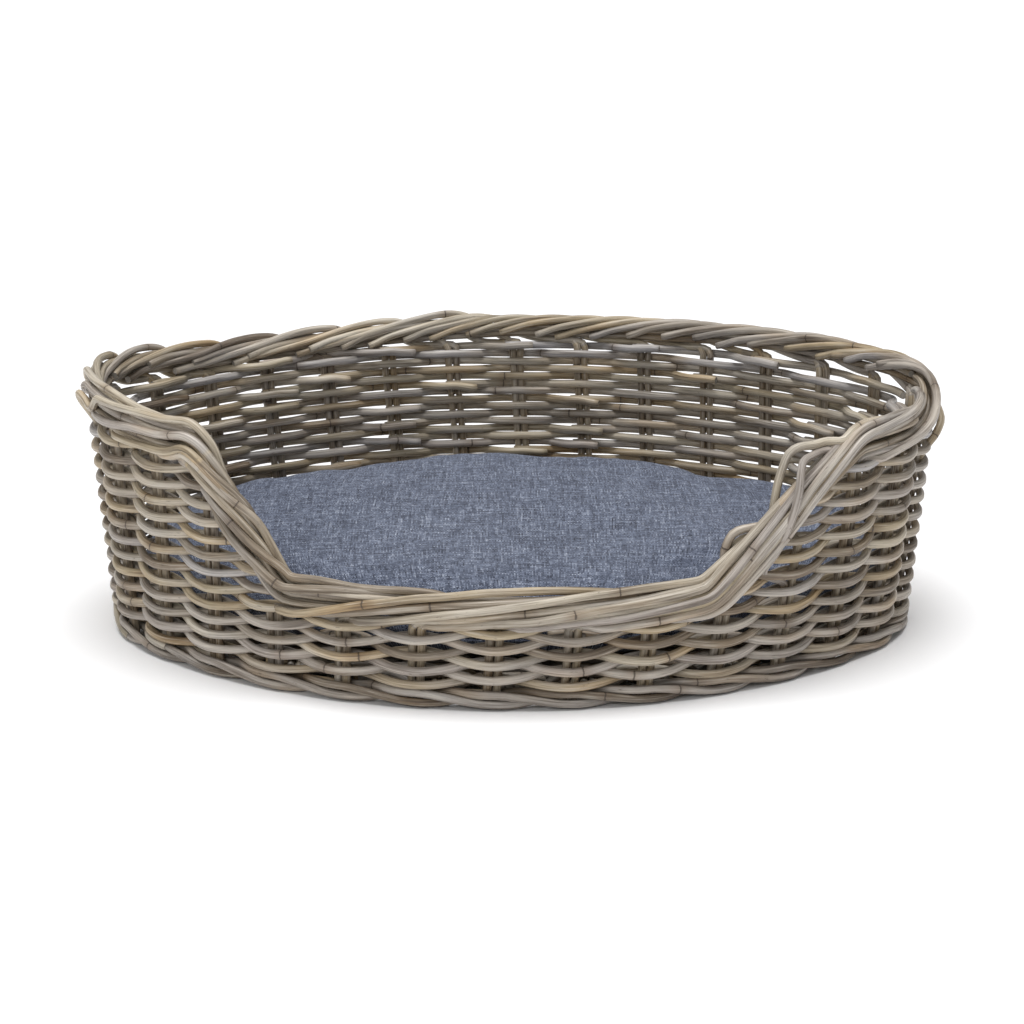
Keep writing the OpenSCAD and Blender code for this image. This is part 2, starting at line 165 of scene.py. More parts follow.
def from_entry(s):
    """Signed distance along the wall from the middle of the entrance."""
    half = oval.perimeter / 2
    return (np.asarray(s, float) - ENTRY_S + half) % oval.perimeter - half


def rim_wave(s):
    places, lifts = np.array(RIM_WAVE).T * MM
    return np.interp(s, places, lifts, period=oval.perimeter)


def border_height(s):
    """Height of the border's middle line: low over the entrance, with a slope on either side."""
    along = from_entry(s)
    left = (-along - LEFT_FOOT) / LEFT_RUN
    right = (along - RIGHT_FOOT) / RIGHT_RUN
    share = np.clip(np.maximum(left, right), 0, 1)
    return BORDER_LOW_Z + (BORDER_Z + rim_wave(s) - BORDER_LOW_Z) * share


def wander(x, seed, knots=97):
    """Smooth repeatable wandering between -1 and 1; one knot for each whole number of x."""
    table = np.random.default_rng(seed).uniform(-1, 1, knots)
    x = np.asarray(x, float)
    i = np.floor(x).astype(int)
    f = smooth(x - i)
    return table[i % knots] * (1 - f) + table[(i + 1) % knots] * f


def bell(x, width):
    """1 at zero, falling smoothly to nothing on both sides."""
    return np.exp(-((x / width) ** 2))


def flattened(wave, amount):
    """A wave between -1 and 1, with flatter crests."""
    return np.tanh(amount * wave) / np.tanh(amount)


# ---- mesh helpers


def distances(points):
    """Distance along a path from its start to each of its points."""
    return np.concatenate([[0], np.cumsum(np.linalg.norm(np.diff(points, axis=0), axis=1))])


def spline(points, step):
    """Smooth curve through points, resampled evenly at about step."""
    p = np.asarray(points, float)
    ext = np.vstack([2 * p[0] - p[1], p, 2 * p[-1] - p[-2]])
    knots = np.concatenate([[0], np.cumsum(np.sqrt(np.linalg.norm(np.diff(ext, axis=0), axis=1)) + 1e-9)])
    dense = []
    for i in range(1, len(ext) - 2):
        t0, t1, t2, t3 = knots[i - 1 : i + 3]
        t = np.linspace(t1, t2, 8, endpoint=False)[:, None]

        def between(a, b, ta, tb):
            return (tb - t) / (tb - ta) * a + (t - ta) / (tb - ta) * b

        a1 = between(ext[i - 1], ext[i], t0, t1)
        a2 = between(ext[i], ext[i + 1], t1, t2)
        a3 = between(ext[i + 1], ext[i + 2], t2, t3)
        dense.append(between(between(a1, a2, t0, t2), between(a2, a3, t1, t3), t1, t2))
    dense = np.vstack(dense + [p[-1:]])
    run = distances(dense)
    n = max(3, int(run[-1] / step) + 1)
    return resampled(dense, run, np.linspace(0, run[-1], n))


def resampled(rows, places, at):
    """Rows of three numbers known at places, read at other places."""
    return np.stack([np.interp(at, places, rows[:, k]) for k in range(3)], -1)


def spread(rows, n):
    """Rows of three numbers, spread evenly over n points."""
    return resampled(np.asarray(rows), np.linspace(0, 1, len(rows)), np.linspace(0, 1, n))


class CaneBundle:
    """Collects round canes into one mesh, with each cane's own grain coordinates and tone."""

    def __init__(self, name, sides=10):
        self.name, self.sides = name, sides
        self.verts, self.faces, self.caps, self.grain, self.tone = [], [], [], [], []
        self.rng = np.random.default_rng(sum(ord(c) * (k + 3) for k, c in enumerate(name)) % 100003)

    def add(self, points, radius=CANE_R, ref=(0, 0, 1), tone=None, uneven=0.05):
        points = np.asarray(points, float)
        n, m = len(points), self.sides
        t = np.gradient(points, axis=0)
        t /= np.linalg.norm(t, axis=1)[:, None]
        ref = np.broadcast_to(np.asarray(ref, float), points.shape)
        w = np.cross(t, ref)
        w /= np.linalg.norm(w, axis=1)[:, None]
        u = np.cross(w, t)
        run = distances(points)
        size = radius * (1 + self.rng.uniform(-uneven, uneven))
        seed = int(self.rng.integers(1 << 30))
        r = size * (1 + 0.05 * wander(run / 0.045, seed) + 0.025 * wander(run / 0.013, seed + 1))
        # a cane swells a little at each of its growth rings
        offset = self.rng.uniform(5, 60)
        d = np.abs(((run + offset) / RING_GAP + 0.5) % 1 - 0.5) * RING_GAP
        r *= 1 + 0.07 * bell(d, 5 * MM)
        # round off the rim of both cut ends
        r[0] *= 0.9
        r[-1] *= 0.9
        a = np.linspace(0, TAU, m, endpoint=False)
        oval_way = 1 + 0.03 * wander(run / 0.03, seed + 2)[:, None]
        ring = points[:, None] + r[:, None, None] * (
            np.cos(a)[None, :, None] * w[:, None] * oval_way[..., None]
            + np.sin(a)[None, :, None] * u[:, None] / oval_way[..., None]
        )
        base = sum(len(v) for v in self.verts)
        self.verts.append(ring.reshape(-1, 3))
        k = np.arange(m)
        i = np.arange(n - 1)[:, None] * m
        quads = np.stack([i + k, i + (k + 1) % m, i + m + (k + 1) % m, i + m + k], -1).reshape(-1, 4)
        self.faces.append(quads + base)
        self.caps += [list(base + k[::-1]), list(base + (n - 1) * m + k)]
        grain = np.broadcast_arrays(size * np.cos(a), size * np.sin(a), (run + offset)[:, None])
        self.grain.append(np.stack(grain, -1).reshape(-1, 3))
        tone = self.rng.uniform() if tone is None else tone
        self.tone.append(np.repeat(np.broadcast_to(tone, n), m))

    def build(self, material, nodes=(), body="basket", end_material=None):
        mesh = bpy.data.meshes.new(self.name)
        verts = np.vstack(self.verts)
        quads = np.vstack(self.faces)
        mesh.from_pydata(verts.tolist(), [], quads.tolist() + self.caps)
        mesh.update()
        mesh.materials.append(material)
        mesh.materials.append(end_material or CUT_END)
        is_end = np.arange(len(mesh.polygons)) >= len(quads)
        mesh.polygons.foreach_set("use_smooth", ~is_end)
        mesh.polygons.foreach_set("material_index", is_end.astype(int))
        grain = mesh.attributes.new("grain", "FLOAT_VECTOR", "POINT")
        grain.data.foreach_set("vector", np.vstack(self.grain).ravel())
        tone = mesh.attributes.new("tone", "FLOAT", "POINT")
        tone.data.foreach_set("value", np.concatenate(self.tone))
        return place_piece(mesh, body, nodes)


def add_object(name, data):
    made = bpy.data.objects.new(name, data)
    bpy.context.scene.collection.objects.link(made)
    return made


def place_piece(mesh, body, nodes=()):
    piece = add_object(mesh.name, mesh)
    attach(piece, body)
    if nodes:
        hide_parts(*nodes)
    return piece


# ---- materials


class Nodes:
    """Short calls for a material's node tree."""

    def __init__(self, name):
        self.material = bpy.data.materials.new(name)
        self.material.use_nodes = True
        self.tree = self.material.node_tree
        self.shader = self.tree.nodes["Principled BSDF"]

    def feed(self, socket, value):
        if isinstance(value, bpy.types.NodeSocket):
            self.tree.links.new(value, socket)
        else:
            socket.default_value = value

    def node(self, kind, inputs=(), **settings):
        """Adds a node, with its settings and its inputs by name or number, and gives its outputs."""
        n = self.tree.nodes.new("ShaderNode" + kind)
        for key, value in settings.items():
            setattr(n, key, value)
        for key, value in dict(inputs).items():
            self.feed(n.inputs[key], value)
        return n.outputs

    def place(self):
        return self.node("TexCoord")["Object"]

    def attribute(self, name, output="Fac"):
        return self.node("Attribute", attribute_name=name)[output]

    def split(self, at):
        return self.node("SeparateXYZ", {0: at})

    def scaled(self, at, factors):
        return self.node("VectorMath", {0: at, 1: factors}, operation="MULTIPLY")[0]

    def math(self, operation, *values):
        return self.node("Math", enumerate(values), operation=operation)[0]

    def span(self, value, low, high, to_low=0.0, to_high=1.0):
        return self.node("MapRange", enumerate((value, low, high, to_low, to_high)))[0]

    def noise(self, at, scale=1.0, detail=2.0, rough=0.5):
        inputs = {"Vector": at, "Scale": scale, "Detail": detail, "Roughness": rough}
        return self.node("TexNoise", inputs)["Fac"]

    def ramp(self, value, stops):
        n = self.tree.nodes.new("ShaderNodeValToRGB")
        self.feed(n.inputs[0], value)
        elements = n.color_ramp.elements
        while len(elements) < len(stops):
            elements.new(0.5)
        for element, (place, colour) in zip(elements, stops):
            element.position = place
            element.color = (*colour, 1)
        return n.outputs["Color"]

    def mix(self, amount, a, b, blend="MIX"):
        a, b = ((*c, 1) if isinstance(c, tuple) else c for c in (a, b))
        return self.node("Mix", {"Factor": amount, 6: a, 7: b}, data_type="RGBA", blend_type=blend)[2]

    def times(self, base, colour):
        return self.mix(1.0, base, colour, "MULTIPLY")

    def layer(self, base, over, value, starts, full, amount=1.0):
        """Lays a colour over the base where value runs from starts to full."""
        return self.mix(self.span(value, starts, full, 0.0, amount), base, over)

    def surface(self, colour, roughness):
        self.feed(self.shader.inputs["Base Color"], colour)
        self.feed(self.shader.inputs["Roughness"], roughness)

    def bump(self, height, strength, distance):
        bumped = self.node("Bump", {"Height": height, "Strength": strength, "Distance": distance})
        self.feed(self.shader.inputs["Normal"], bumped[0])


# colours of whole canes: brown, straw, and weathered grey
CANE_TONES = (
    (0.00, (0.165, 0.125, 0.088)),
    (0.12, (0.280, 0.232, 0.172)),
    (0.26, (0.420, 0.335, 0.215)),
    (0.40, (0.350, 0.300, 0.215)),
    (0.54, (0.370, 0.330, 0.300)),
    (0.68, (0.490, 0.430, 0.330)),
    (0.80, (0.300, 0.260, 0.212)),
    (0.92, (0.430, 0.390, 0.345)),
    (1.00, (0.330, 0.322, 0.330)),
)
YARN = 1.2 * MM
YARN_TONES = (
    (0.32, (0.012, 0.015, 0.026)),
    (0.42, (0.040, 0.048, 0.078)),
    (0.50, (0.106, 0.127, 0.184)),
    (0.57, (0.200, 0.231, 0.311)),
    (0.66, (0.435, 0.475, 0.566)),
)


def cane_material(name, gain):
    """Weathered round cane: a tone for each cane, fine lengthwise fibres, stains and dark growth rings."""
    m = Nodes(name)
    grain = m.attribute("grain", "Vector")
    tone = m.attribute("tone")

    def tint(r, g, b):
        return (r * gain, g * gain, b * gain)

    def stretched(around, along):
        return m.scaled(grain, (around, around, along))

    base = m.ramp(tone, [(place, tint(*colour)) for place, colour in CANE_TONES])
    # slow drift along the cane, to a warmer or a greyer colour
    slow = m.noise(stretched(30.0, 8.0))
    base = m.layer(base, m.times(base, (1.0, 0.84, 0.62)), slow, 0.52, 0.72)
    base = m.layer(base, tint(0.345, 0.325, 0.310), slow, 0.48, 0.30, 0.65)
    # broad worn streaks and patches
    worn = m.noise(stretched(230.0, 11.0), detail=3.0, rough=0.6)
    base = m.layer(base, tint(0.560, 0.515, 0.440), worn, 0.54, 0.74, 0.6)
    base = m.layer(base, m.times(base, (0.42, 0.38, 0.34)), worn, 0.49, 0.32, 0.85)
    # dark and pale fibres
    fibre = m.noise(stretched(900.0, 24.0), detail=3.0, rough=0.65)
    base = m.layer(base, m.times(base, (0.40, 0.37, 0.34)), fibre, 0.48, 0.66, 0.75)
    base = m.layer(base, tint(0.620, 0.570, 0.490), fibre, 0.44, 0.30, 0.5)
    # growth rings: a thin dark line with a stain beside it
    along = m.split(grain)[2]
    ragged = m.math("MULTIPLY", m.math("SUBTRACT", m.noise(stretched(260.0, 260.0)), 0.5), 0.0022)
    rings = m.math("DIVIDE", m.math("ADD", along, ragged), RING_GAP)
    turn = m.math("FRACT", m.math("ADD", rings, 0.5))
    gap = m.math("MULTIPLY", m.math("ABSOLUTE", m.math("SUBTRACT", turn, 0.5)), RING_GAP)
    stain = m.span(gap, 0.0, 0.011, 0.6, 0.0)
    line = m.span(gap, 0.0003, 0.0009, 0.8, 0.0)
    base = m.mix(stain, base, m.times(base, (0.55, 0.46, 0.38)))
    base = m.mix(line, base, tint(0.045, 0.033, 0.024))
    # dark specks and scuffs
    speck = m.noise(stretched(420.0, 120.0), detail=4.0, rough=0.7)
    base = m.layer(base, tint(0.080, 0.060, 0.045), speck, 0.63, 0.73, 0.8)
    m.surface(base, m.span(fibre, 0.2, 0.8, 0.36, 0.62))
    m.shader.inputs["Specular IOR Level"].default_value = 0.5
    height = m.math("ADD", m.math("MULTIPLY", fibre, -0.5), m.math("MULTIPLY", line, -0.8))
    height = m.math("ADD", height, m.math("MULTIPLY", worn, 0.6))
    m.bump(height, 0.75, 0.0005)
    return m.material


def cane_end_material():
    """Cut end of a cane: pale open pith with small dark pores."""
    m = Nodes("cane_cut_end")
    at = m.place()
    pores = m.noise(at, 1500.0)
    rim = m.noise(at, 320.0)
    colour = m.mix(m.span(rim, 0.3, 0.7), (0.37, 0.34, 0.30), (0.26, 0.235, 0.20))
    colour = m.layer(colour, (0.10, 0.085, 0.07), pores, 0.58, 0.7, 0.8)
    m.surface(colour, 0.85)
    m.bump(pores, 0.4, 0.0003)
    return m.material


def melange_fabric():
    """Coarse linen-look plain weave in mixed dark, mid and pale blue-grey yarns."""
    m = Nodes("melange_fabric")
    at = m.place()
    part = m.split(at)
    drift = m.noise(at, 14.0)
    # the cloth turns down over the edge, so the depth below the top counts as distance outwards
    drop = m.math("SUBTRACT", PAD_TOP, part[2])

    def unrolled(way, middle, astray):
        flat = m.math("MULTIPLY_ADD", drop, m.span(way, -middle, middle, -1.0, 1.0), way)
        return m.math("MULTIPLY_ADD", drift, astray, flat)

    x = unrolled(part[0], 0.2, 6 * MM)
    y = unrolled(part[1], 0.12, 9 * MM)

    def pair(a, b):
        return m.node("CombineXYZ", {0: a, 1: b})[0]

    def thread(across, along):
        """Lightness of the yarns that run along: each has its own tone, which changes every few stitches."""
        number = m.math("MULTIPLY", m.math("FLOOR", m.math("DIVIDE", across, YARN)), 7.31)
        short = m.noise(pair(number, m.math("MULTIPLY", along, 150.0)), detail=1.5, rough=0.6)
        long = m.noise(pair(number, m.math("MULTIPLY_ADD", along, 26.0, 50.0)), detail=1.5)
        return m.math("MULTIPLY_ADD", long, 0.45, m.math("MULTIPLY", short, 0.55))

    def rounding(across):
        turn = m.math("MULTIPLY", across, TAU / YARN)
        return m.math("MULTIPLY_ADD", m.math("COSINE", turn), -0.5, 0.5)

    checks = [m.math("SINE", m.math("MULTIPLY", way, np.pi / YARN)) for way in (x, y)]
    pick = m.span(m.math("MULTIPLY", *checks), -0.25, 0.25)
    warp = m.math("MULTIPLY", thread(x, y), m.math("SUBTRACT", 1.0, pick))
    value = m.math("MULTIPLY_ADD", thread(y, x), pick, warp)
    shade = m.math("MULTIPLY", m.math("ADD", rounding(x), rounding(y)), 0.5)
    colour = m.ramp(value, YARN_TONES)
    colour = m.layer(colour, m.times(colour, (0.45, 0.46, 0.5)), shade, 0.6, 0.0, 0.5)
    patch = m.noise(at, 9.0, 3.0)
    colour = m.layer(colour, m.times(colour, (0.78, 0.80, 0.84)), patch, 0.35, 0.7, 0.2)
    m.surface(colour, 0.92)
    m.shader.inputs["Specular IOR Level"].default_value = 0.2
    m.shader.inputs["Sheen Weight"].default_value = 0.2
    m.shader.inputs["Sheen Roughness"].default_value = 0.5
    m.bump(m.math("MULTIPLY_ADD", value, 0.6, shade), 0.7, 0.0006)
    return m.material


def plain_cloth(name, colour, pitch):
    """Fine woven tape or welt."""
    m = Nodes(name)
    at = m.place()
    ribs = m.noise(at, 1 / pitch, 3.0, 0.7)
    dark = tuple(c * 0.6 for c in colour)
    m.surface(m.mix(m.span(ribs, 0.3, 0.7), dark, colour), 0.85)
    m.bump(ribs, 0.5, 0.0003)
    return m.material


def dull_metal():
    """Nickel-plated zinc with light scratches."""
    m = Nodes("zip_nickel")
    at = m.place()
    scratch = m.noise(m.scaled(at, (3000.0, 600.0, 600.0)), detail=3.0)
    worn = m.mix(scratch, (0.42, 0.42, 0.43), (0.62, 0.62, 0.62))
    m.surface(worn, m.span(scratch, 0.2, 0.8, 0.25, 0.5))
    m.shader.inputs["Metallic"].default_value = 1.0
    return m.material


CUT_END = cane_end_material()
CANE_WEAVE = cane_material("cane_woven", gain=1.12)
CANE_BORDER = cane_material("cane_plaited", gain=1.09)
CANE_FOOT = cane_material("cane_foot", gain=0.94)
CANE_BASE = cane_material("cane_floor", gain=0.92)

# ---- woven rows


def row_height(r, s):
    """Rows are packed a little closer at the low front, and looser at the back."""
    away = np.abs(from_entry(s))
    front = smooth((0.42 - away) / 0.26)
    back = smooth((away - 0.45) / 0.3)
    low_part = np.minimum(r, FULL_ROWS) - 1
    z = FIRST_ROW_Z + (r - 1) * ROW_PITCH - low_part * 0.6 * MM * front + (r - 1) * 0.13 * MM * back
    if r > ROWS:
        z = z + 0.5 * np.maximum(rim_wave(s), -1 * MM)
    fade = np.sin(np.pi * np.clip(r / ROWS, 0.05, 0.95))
    return z + fade * 1.2 * MM * wander(s / 0.15, 11) + 0.5 * MM * wander(s / 0.06, 100 + r)


def row_path(r, s, inset, tucked):
    """A row swings from one side of the uprights to the other; where tucked, it turns into the border."""
    z = row_height(r, s)
    u = (s - stake_s(0, z)) / SPACING
    side = (1 if r % 2 == 0 else -1) * np.cos(np.pi * u)
    swing = PASS * flattened(side, 0.9)
    swing *= 1 + 0.05 * wander(s / 0.1, 300 + r)
    swing += (0.4 * BORDER_OUT - swing) * tucked
    dip = (1.5 + 1.5 * smooth((0.65 - np.abs(from_entry(s))) / 0.3)) * MM * min(1, 0.3 + 0.2 * r)
    pointed = 0.45 * side + 0.55 * np.arcsin(side) * 2 / np.pi
    return oval.place(s, FLARE * z + swing - inset, z - dip * pointed)


# length over which a row's end turns into the border
TUCK = 26 * MM


def inside_pairs(r, start, end, margin):
    """Pairs of uprights that row r passes on the inside, away from both of its ends."""
    return [
        i
        for i in range(int(start / SPACING) - 1, int(end / SPACING) + 2)
        if (i + r) % 2 == 1 and start + margin < stake_s(i, 0) < end - margin
    ]


def some_joints(r, start, end, rng):
    """A few places, spread along a row, where one cane stops and the next is laid in."""
    inside = inside_pairs(r, start, end, 1.5 * SPACING)
    count = 3 if end - start > 1.3 else 2
    picks = sorted(inside[int((k + rng.uniform(0.1, 0.9)) * len(inside) / count)] for k in range(count))
    return [k for j, k in enumerate(picks) if j == 0 or k - picks[j - 1] > 2]


def lay_row(bundle, r, start, end, joints, closed, rng):
    """Lays the canes of one row end to end; each new cane starts on the inside, beside the old one's end."""
    z = FIRST_ROW_Z + (r - 1) * ROW_PITCH
    edges = ([joints[-1] - STAKES] + joints) if closed else ([None] + joints + [None])
    for a, b in zip(edges[:-1], edges[1:]):
        s0 = start if a is None else stake_s(a, z) - rng.uniform(0.26, 0.42) * SPACING
        s1 = end if b is None else stake_s(b, z) + rng.uniform(0.13, 0.2) * SPACING
        s = np.linspace(s0, s1, max(8, int((s1 - s0) / CANE_STEP)))
        inset, tucked = np.zeros((2, len(s)))
        if b is None:
            tucked += 1 - smooth((s1 - s) / TUCK)
        if a is None:
            tucked += 1 - smooth((s - s0) / TUCK)
        else:
            u = (s - stake_s(a, z)) / SPACING
            inset = 6.7 * MM * (1 - smooth((u - 0.16) / 0.5)) + 2.5 * MM * smooth(-(u + 0.05) / 0.3)
        points, out = row_path(r, s, inset, tucked)
        if a is not None:
            points[:, 2] += rng.uniform(-2.0, 2.5) * MM * smooth(-(u - 0.1) / 0.4)
        bundle.add(points, radius=CANE_R * 1.09, ref=out, uneven=0.05)


def reach(z, side):
    """Distance from the middle of the entrance to a row's end at height z, on the left (-1) or right (1)."""
    along = np.arange(LEFT_FOOT, 0.45, 1 * MM)
    above = border_height(ENTRY_S + side * along) - z
    level = np.abs(np.gradient(above, along)) < 0.4
    room = np.where(level, 8.5 * MM, 1.3 * MM)
    blocked = np.nonzero(above < room)[0]
    return along[blocked[-1]] if len(blocked) else along[0]


def weave_row(r):
    rng = np.random.default_rng(500 + r)
    bundle = CaneBundle(f"woven_row_{r:02d}")
    z = FIRST_ROW_Z + (r - 1) * ROW_PITCH
    closed = r <= FULL_ROWS
    start = 0.0 if closed else ENTRY_S + reach(z, 1) - oval.perimeter
    end = oval.perimeter if closed else ENTRY_S - reach(z, -1)
    lay_row(bundle, r, start, end, some_joints(r, start, end, rng), closed, rng)
    bundle.build(CANE_WEAVE, [f"weave_row_{r:02d}"])


def closing_row():
    """Short lengths tucked in between the top row and the border, with an end at every second pair."""
    r = ROWS + 1
    rng = np.random.default_rng(77)
    start, end = 40 * MM, ENTRY_S - LEFT_FOOT - LEFT_RUN - 8 * MM
    bundle = CaneBundle("closing_row")
    lay_row(bundle, r, start, end, inside_pairs(r, start, end, 0.8 * SPACING), False, rng)
    bundle.build(CANE_WEAVE)


for row in range(1, ROWS + 1):
    weave_row(row)
closing_row()

# ---- foot wale


# a strand's places between two pairs of uprights, in spacings, and how far it is outwards and upwards there,
# for each of the three gaps that its pattern repeats over
WALE_STEPS = (0.13, 0.36, 0.64, 0.87)
WALE_SIDE = ((-1, -0.45, 0.55, 1), (1, 1, 1, 1), (1, 0.55, -0.45, -1))
WALE_RISE = ((0.25, 0.8, 1, 1), (0.85, 0.35, -0.35, -0.85), (-1, -1, -0.8, -0.25))


def foot_wale(k):
    """One of three strands, each in front of two pairs of uprights and behind the third."""
    node = f"foot_wale_{k + 1}"
    low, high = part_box(node)
    mid = (low.z + high.z) / 2
    lift = (high.z - low.z) / 2 - CANE_R
    bundle = CaneBundle(f"foot_strand_{k + 1}")
    half = STAKES // 2
    for first in (k, k + half):
        # four points for each pair that it passes, and one more where it ends
        step = np.arange(4 * half + 1)
        pair, quarter = first + step // 4, step % 4
        phase = (pair + k) % 3
        s = stake_s(pair, mid) + np.array(WALE_STEPS)[quarter] * SPACING
        z = np.maximum(mid + lift * np.array(WALE_RISE)[phase, quarter], 1.2 * CANE_R)
        points, out = oval.place(s, FLARE * mid + PASS * np.array(WALE_SIDE)[phase, quarter], z)
        path = spline(points, CANE_STEP)
        bundle.add(path, ref=spread(out, len(path)), uneven=0.06)
    bundle.build(CANE_FOOT, [node])


for strand in range(3):
    foot_wale(strand)

# ---- border and uprights


class Rope:
    """Middle line of the border, with its twist, its thickness and its sideways and upward directions."""

    # turn of the twist for each metre: round the back, over the entrance, past its left corner, and down
    # the steep slope
    BACK, FRONT, CORNER, STEEP = np.radians((1416, 620, 1150, 1600))

    def __init__(self):
        n = 1440
        s = np.linspace(0, oval.perimeter, n, endpoint=False)
        z = border_height(s)
        centre, _ = oval.place(s, FLARE * z + BORDER_OUT, z)
        ease = np.hanning(27)
        ease /= ease.sum()
        half = len(ease) // 2
        wrapped = np.vstack([centre[-half:], centre, centre[:half]])
        centre = np.stack([np.convolve(column, ease, "valid") for column in wrapped.T], -1)
        step = np.linalg.norm(np.diff(np.vstack([centre, centre[:1]]), axis=0), axis=1)
        self.length = step.sum()
        self.s = np.append(s, oval.perimeter)
        self.run = np.concatenate([[0], np.cumsum(step)])
        # the border is thicker over the entrance and its corners than along the back
        along = from_entry(s)
        thick = smooth((0.5 - np.abs(along)) / 0.2)
        past_top = smooth((along + LEFT_FOOT + LEFT_RUN + 30 * MM) / (30 * MM))
        steep = past_top * smooth((-along - LEFT_FOOT + 20 * MM) / (30 * MM))
        corner = smooth((along + LEFT_FOOT) / (20 * MM)) * (1 - smooth((along + 80 * MM) / (40 * MM)))
        rate = self.BACK + (self.FRONT - self.BACK) * thick
        rate += (self.STEEP - self.FRONT) * steep + (self.CORNER - self.FRONT) * corner
        self.turns = np.concatenate([[0], np.cumsum(rate * step)])
        rows = np.column_stack([centre, thick, steep])
        self.table = np.vstack([rows, rows[:1]])

    def read(self, run):
        x = np.asarray(run, float) % self.length
        return np.stack([np.interp(x, self.run, self.table[:, k]) for k in range(5)], -1)

    def at(self, run):
        """Middle, outward direction, upward direction, thickness and steepness at a distance along."""
        here = self.read(run)
        t = self.read(run + 3 * MM)[..., :3] - self.read(run - 3 * MM)[..., :3]
        t /= np.linalg.norm(t, axis=-1, keepdims=True)
        w = np.cross(t, (0, 0, 1))
        w /= np.linalg.norm(w, axis=-1, keepdims=True)
        return here[..., :3], w, np.cross(w, t), here[..., 3], here[..., 4]

    def run_of(self, s):
        return np.interp(s % oval.perimeter, self.s, self.run)

    def turned(self, run):
        """Angle by which the twist has turned at a distance along the border."""
        laps = np.floor(run / self.length)
        return np.interp(run - laps * self.length, self.run, self.turns) + laps * self.turns[-1]

    def run_where(self, turned):
        laps = np.floor(turned / self.turns[-1])
        return np.interp(turned - laps * self.turns[-1], self.turns, self.run) + laps * self.length


rope = Rope()
# angle at which an upright joins the border, below and outside it, and at which its end is cut, inside it
JOINS = np.radians(-80)
CUT_AT = np.radians(205)
FULL_TURN = CUT_AT - JOINS
# pairs bent over above the steep slope, whose canes run on over the entrance and end here, from its middle,
# held on top of the border up to this angle
LONG = {17: -85 * MM, 18: 5 * MM}
ON_TOP = np.radians(108)
# a bent cane that would be shorter than this goes round once more
SHORTEST = 185 * MM


def looped(s):
    """How far the canes are bent over in sharp high loops, most of all at the back on the left."""
    return 0.75 * smooth((s - 0.34) / 0.08) * (1 - smooth((s - 0.86) / 0.05))


def wound(i, which, run, age, rng):
    """Points of a cane wound round the border at distances run; age grows from 0 to 1 in one turn."""
    c, w, u, thick, steep = rope.at(run)
    loop = looped(stake_s(i, BORDER_Z))
    front = thick * (1 - steep)
    # over the entrance a cane crosses the outer face slowly and the inner face quickly
    slow = np.interp(age, (-0.3, 0, 0.7, 1, 3), np.radians((-130, -80, 85, 205, 775)))
    steady = JOINS + FULL_TURN * (age + rng.uniform(-0.04, 0.04))
    steady += (slow - steady) * front * rng.uniform(0.5, 1.0)
    quick = np.interp(age, (-0.2, 0, 0.2, 1, 3), np.radians((-110, -80, 75, 205, 800)))
    angle = steady + (quick - steady) * loop
    if i in LONG:
        # it stays on top of the border past the foot of the steep slope, and turns inwards near its end
        turning = smooth((run - run[-1] + 60 * MM) / (60 * MM))
        held = np.minimum(angle, ON_TOP + (angle[-1] - ON_TOP) * turning)
        angle = np.where(age < 0.5, angle, held)
    # an older cane lies deeper in the border than the ones bent over it
    depth = 1.1 - 0.2 * age - 0.4 * smooth((age - 0.95) / 0.5) * (1 - 0.8 * steep)
    if which:
        depth *= 1 - 0.28 * front
    width = (6.6 + 1.7 * thick) * MM * depth
    height = np.where(angle > 0, 8.6 + 3.7 * front, 11.0 + 3.5 * front) * MM * depth
    travelled = run - run[0]
    width *= 1 + 0.12 * wander(travelled / 0.04, 900 + 2 * i + which)
    height *= 1 + 0.12 * wander(travelled / 0.04, 1900 + 2 * i + which)
    lift = rng.uniform(0.8, 1.2) * (0.6 - 1.5 * loop if which else 1.2 + 7 * loop) * MM
    past = age - 0.55 + 0.37 * loop
    crest = lift * bell(past, np.where(past < 0, 0.12 - 0.04 * loop, 0.3))
    if not which:
        crest += 5 * MM * steep * bell(angle - np.radians(95), np.radians(38))
    tail = smooth((run - run[-1] + 22 * MM) / (22 * MM))
    side = width * np.cos(angle) - tail * rng.uniform(0.5, 3.0) * MM
    up = (height + crest) * np.sin(angle) - tail * rng.uniform(0.0, 3.0) * MM
    return c + w * side[:, None] + u * up[:, None], w


def upright(i, which, top):
    """The straight part of an upright, from just above the ground to the height top."""
    heights = np.append(np.arange(2.5 * MM, top - 8 * MM, 16 * MM), top)
    along = stake_s(i, heights) + (1 if which == 0 else -1) * PAIR_HALF
    along += 0.5 * MM * wander(heights / 0.05, 2900 + 2 * i + which)
    return oval.place(along, FLARE * heights, heights)


